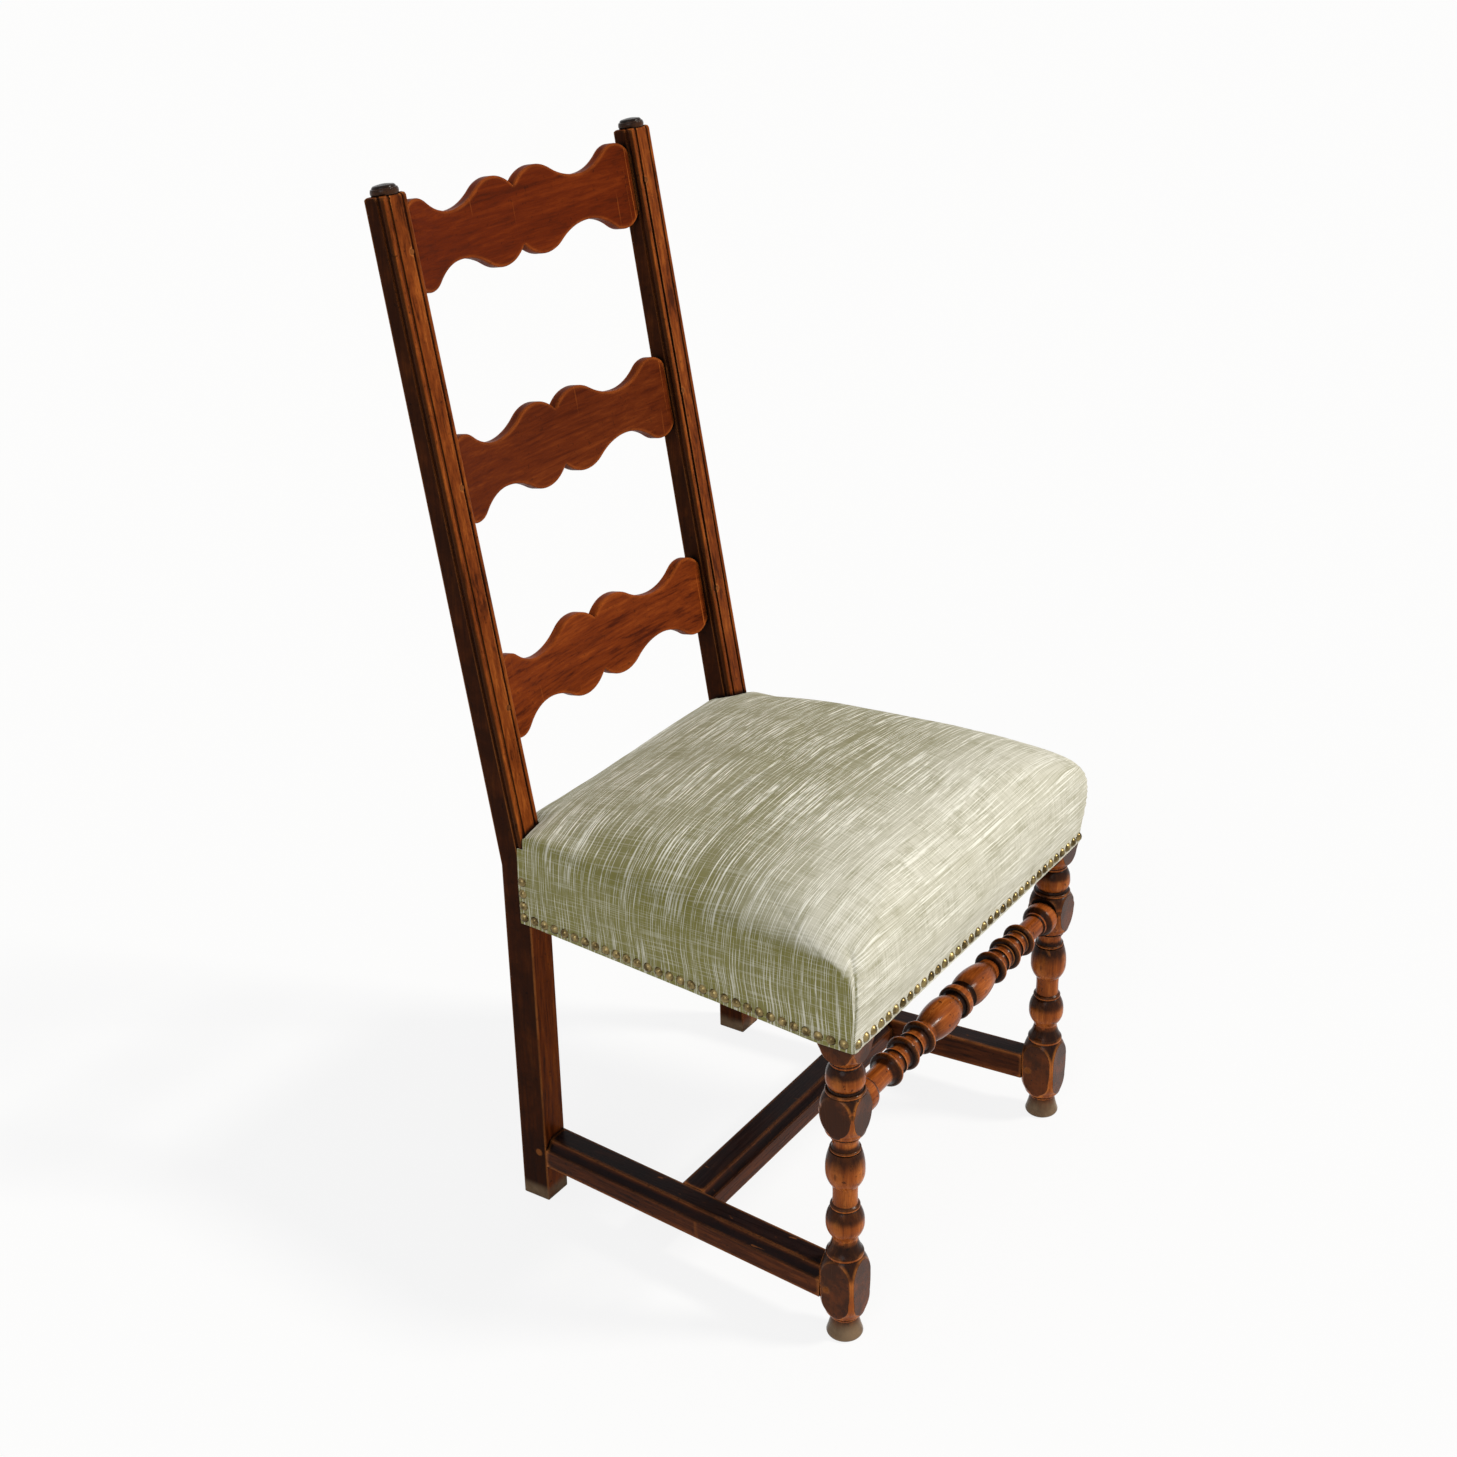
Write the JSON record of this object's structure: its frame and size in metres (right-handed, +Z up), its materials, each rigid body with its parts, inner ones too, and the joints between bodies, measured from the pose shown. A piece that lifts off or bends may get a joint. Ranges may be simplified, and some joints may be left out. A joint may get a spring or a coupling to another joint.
{
  "type": "ladder-back dining chair",
  "caption": "Wooden ladder-back chair with scalloped bowed slats, leaning beaded rear posts, turned front legs and stretcher, low side stretchers and a stuffed velvet seat edged with domed nails.",
  "frame": {"origin": "middle of the bounding box's base, on the floor", "axes": "+X to the right seen from the front, -Y to the front where the sitter faces, +Z up"},
  "size_m": [0.4986, 0.5499, 1.0671],
  "materials": {
    "walnut": "dark waxed walnut, worn on the arrises",
    "velvet": "sage velvet with fine cream lines",
    "stuffing": "matted fibre, hidden",
    "webbing": "woven jute straps",
    "hessian": "plain jute cloth",
    "brass": "antique, darkened round the rims"
  },
  "bodies": {
    "root": {"rear_post_left": "walnut", "rear_post_right": "walnut", "finial_left": "walnut", "finial_right": "walnut", "top_slat": "walnut", "middle_slat": "walnut", "bottom_slat": "walnut", "slat_pegs": "walnut", "front_leg_left": "walnut", "front_leg_right": "walnut", "front_stretcher": "walnut", "side_stretcher_left": "walnut", "side_stretcher_right": "walnut", "cross_stretcher": "walnut", "stretcher_pegs": "walnut", "front_rail": "walnut", "rear_rail": "walnut", "side_rail_left": "walnut", "side_rail_right": "walnut", "webbing_lengthwise": "webbing", "webbing_crosswise": "webbing", "hessian": "hessian", "seat_stuffing": "stuffing", "seat_cover": "velvet", "nails_front": "brass", "nails_left": "brass", "nails_right": "brass", "nails_rear": "brass"}
  },
  "joints": []
}
